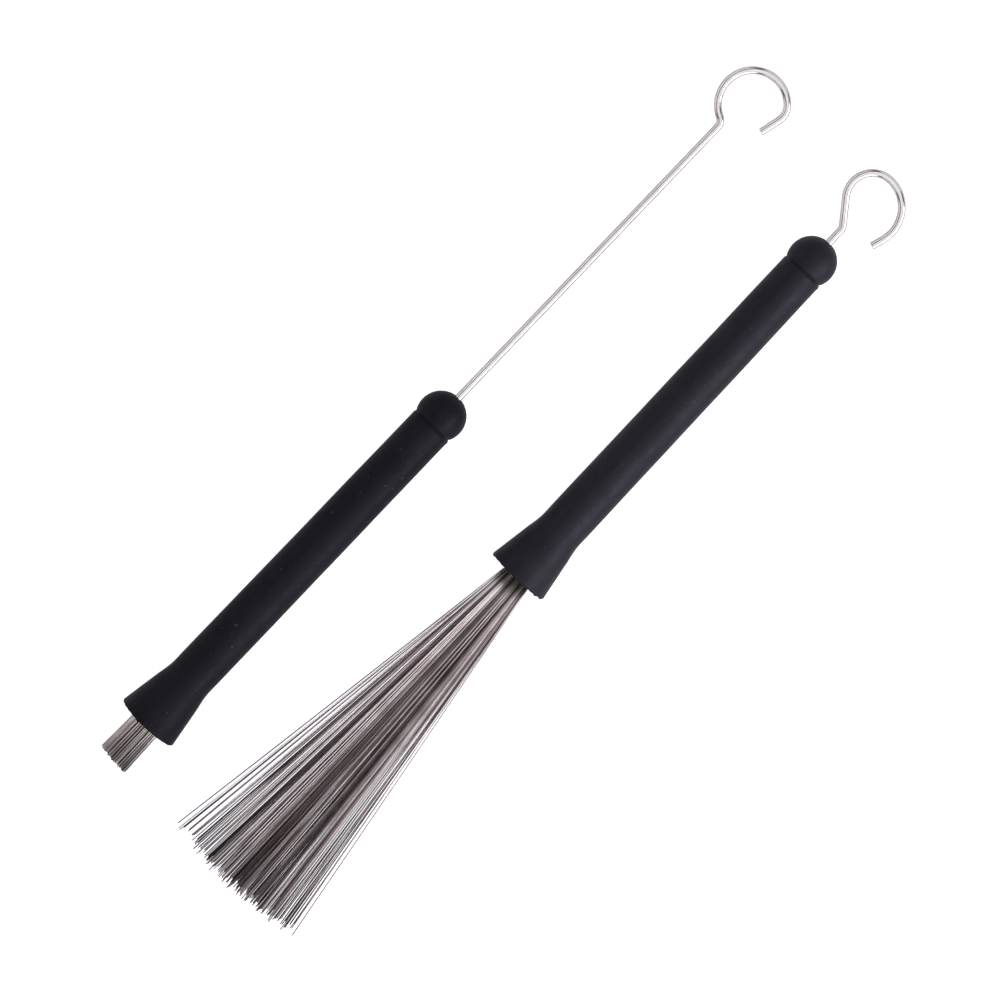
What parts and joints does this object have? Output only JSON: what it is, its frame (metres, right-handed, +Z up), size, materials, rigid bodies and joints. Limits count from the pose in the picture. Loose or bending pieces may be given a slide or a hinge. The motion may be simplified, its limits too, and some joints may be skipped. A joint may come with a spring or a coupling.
{
  "type": "pair of retractable wire drum brushes",
  "caption": "Two wire drum brushes with black rubber handles and hooked pull rods, one retracted into its handle and one with its wires fanned out.",
  "frame": {"origin": "centre of the pair's footprint, on the surface that the flared rims and the ball ends rest on", "axes": "+X along the retracted brush from its wires to its hook, +Y from the extended brush towards the retracted one, +Z up"},
  "size_m": [0.3048, 0.09, 0.0212],
  "materials": {
    "grip_rubber": "matte",
    "tube_aluminium": "drawn, satin",
    "nylon": "natural nylon",
    "ring_rubber": "smooth",
    "ferrule_brass": "turned",
    "rod_plated": "polished nickel plate",
    "wire_steel": "drawn spring steel"
  },
  "bodies": {
    "handle_a": {"grip_a": "grip_rubber", "inner_tube_a": "tube_aluminium", "rod_bushing_a": "nylon"},
    "slider_a": {"friction_ring_a": "ring_rubber"},
    "brush_unit_a": {"plunger_a": "nylon", "ferrule_a": "ferrule_brass", "pull_rod_a": "rod_plated", "wires_left_a": "wire_steel", "wires_centre_a": "wire_steel", "wires_right_a": "wire_steel"},
    "handle_b": {"grip_b": "grip_rubber", "inner_tube_b": "tube_aluminium", "rod_bushing_b": "nylon"},
    "slider_b": {"friction_ring_b": "ring_rubber"},
    "brush_unit_b": {"plunger_b": "nylon", "ferrule_b": "ferrule_brass", "pull_rod_b": "rod_plated", "wires_left_b": "wire_steel", "wires_centre_b": "wire_steel", "wires_right_b": "wire_steel"}
  },
  "joints": [
    {"name": "set_b_aside", "type": "slide", "parent": "handle_a", "child": "handle_b", "axis": [0, -1, 0], "range_m": [0, 0.1]},
    {"name": "slide_a", "type": "slide", "parent": "handle_a", "child": "slider_a", "axis": [-0.9998, 0, 0.0194], "range_m": [0, 0.115], "deforming": ["wires_left_a", "wires_centre_a", "wires_right_a"]},
    {"name": "spin_a", "type": "hinge", "parent": "slider_a", "child": "brush_unit_a", "pos_m": [0.00103, 0.03445, 0.008], "axis": [0.9998, 0, -0.0194], "continuous": true},
    {"name": "slide_b", "type": "slide", "parent": "handle_b", "child": "slider_b", "axis": [0.9997, 0.0155, -0.0194], "range_m": [0, 0.115], "deforming": ["wires_left_b", "wires_centre_b", "wires_right_b"]},
    {"name": "spin_b", "type": "hinge", "parent": "slider_b", "child": "brush_unit_b", "pos_m": [0.11602, -0.01556, 0.008], "axis": [0.9997, 0.0155, -0.0194], "continuous": true}
  ]
}
